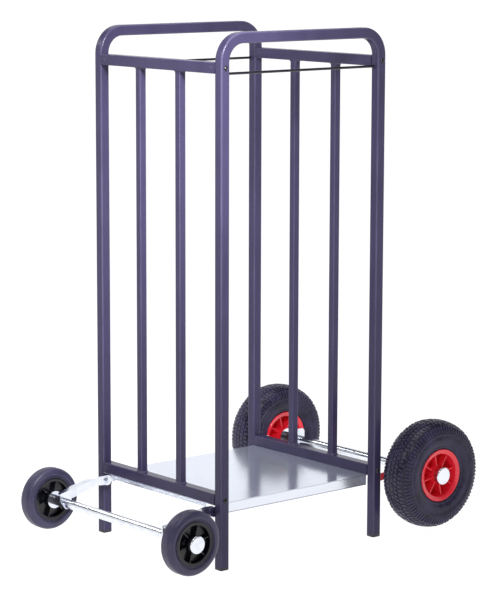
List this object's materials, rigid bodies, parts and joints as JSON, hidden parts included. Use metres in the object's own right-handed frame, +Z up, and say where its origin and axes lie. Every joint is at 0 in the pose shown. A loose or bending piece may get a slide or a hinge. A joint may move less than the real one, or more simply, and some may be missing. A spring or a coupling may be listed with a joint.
{
  "type": "hand truck",
  "caption": "Upright hand truck with two hooped side frames, slatted ends, a sheet tray, two large air-tyred wheels and a swinging bracket with two small support wheels.",
  "frame": {"origin": "on the floor plane of the feet, under the middle of the whole truck's box", "axes": "+X from the small wheels towards the large wheels, +Y across the truck to its far side, +Z up"},
  "size_m": [0.928, 0.659, 1.21],
  "materials": {
    "powder_coat": "dark blue-grey powder coat with a soft sheen",
    "galvanised_sheet": "bright galvanised sheet with faint rolling lines",
    "zinc_plate": "bright zinc plating",
    "black_plastic": "moulded black plastic",
    "solid_rubber": "smooth dark grey solid rubber",
    "air_tyre": "black pneumatic tyre rubber with block tread",
    "black_rim": "moulded black plastic",
    "red_rim": "moulded bright red plastic"
  },
  "bodies": {
    "frame": {"side_frame_near": "powder_coat", "side_frame_far": "powder_coat", "foot_plugs": "black_plastic", "front_top_rail": "powder_coat", "front_bottom_rail": "powder_coat", "rear_top_rail": "powder_coat", "rear_bottom_rail": "powder_coat", "front_bars": "powder_coat", "rear_bars": "powder_coat", "front_welds": "powder_coat", "rear_welds": "powder_coat", "rail_inserts": "zinc_plate", "rail_screws": "powder_coat", "frame_bolts": "powder_coat", "cross_rods": "powder_coat", "rod_nuts": "powder_coat", "handle_screws": "powder_coat", "tray": "galvanised_sheet", "tray_screws": "zinc_plate", "pivot_bosses": "powder_coat", "rear_arm_near": "zinc_plate", "rear_arm_far": "zinc_plate", "rear_arm_bolts": "zinc_plate", "rear_cross_tube": "zinc_plate", "rear_axle": "zinc_plate", "rear_spacers": "black_plastic", "rear_clips": "zinc_plate"},
    "support_bracket": {"bracket_arm_near": "zinc_plate", "bracket_arm_far": "zinc_plate", "cross_tube": "zinc_plate", "front_axle": "zinc_plate", "pivot_bolts": "zinc_plate", "pivot_washers": "zinc_plate", "front_spacers": "black_plastic", "front_clips": "zinc_plate"},
    "small_wheel_near": {"small_tyre_near": "solid_rubber", "small_rim_near": "black_rim", "small_bush_near": "zinc_plate", "small_cap_near": "zinc_plate", "small_washer_near": "zinc_plate"},
    "small_wheel_far": {"small_tyre_far": "solid_rubber", "small_rim_far": "black_rim", "small_bush_far": "zinc_plate", "small_cap_far": "zinc_plate", "small_washer_far": "zinc_plate"},
    "big_wheel_near": {"big_tyre_near": "air_tyre", "big_rim_near": "red_rim", "big_bush_near": "zinc_plate", "big_cap_near": "zinc_plate", "big_washer_near": "zinc_plate", "big_valve_near": "air_tyre"},
    "big_wheel_far": {"big_tyre_far": "air_tyre", "big_rim_far": "red_rim", "big_bush_far": "zinc_plate", "big_cap_far": "zinc_plate", "big_washer_far": "zinc_plate", "big_valve_far": "air_tyre"}
  },
  "joints": [
    {"name": "support_bracket_swing", "type": "hinge", "parent": "frame", "child": "support_bracket", "pos_m": [-0.273, 0, 0.133], "axis": [0, 1, 0], "range_deg": [-65, 33]},
    {"name": "small_wheel_near_spin", "type": "hinge", "parent": "support_bracket", "child": "small_wheel_near", "pos_m": [-0.3905, -0.268, 0.094], "axis": [0, 1, 0], "continuous": true},
    {"name": "small_wheel_far_spin", "type": "hinge", "parent": "support_bracket", "child": "small_wheel_far", "pos_m": [-0.3905, 0.268, 0.094], "axis": [0, 1, 0], "continuous": true},
    {"name": "big_wheel_near_spin", "type": "hinge", "parent": "frame", "child": "big_wheel_near", "pos_m": [0.334, -0.282, 0.147], "axis": [0, 1, 0], "continuous": true},
    {"name": "big_wheel_far_spin", "type": "hinge", "parent": "frame", "child": "big_wheel_far", "pos_m": [0.334, 0.282, 0.147], "axis": [0, 1, 0], "continuous": true}
  ]
}
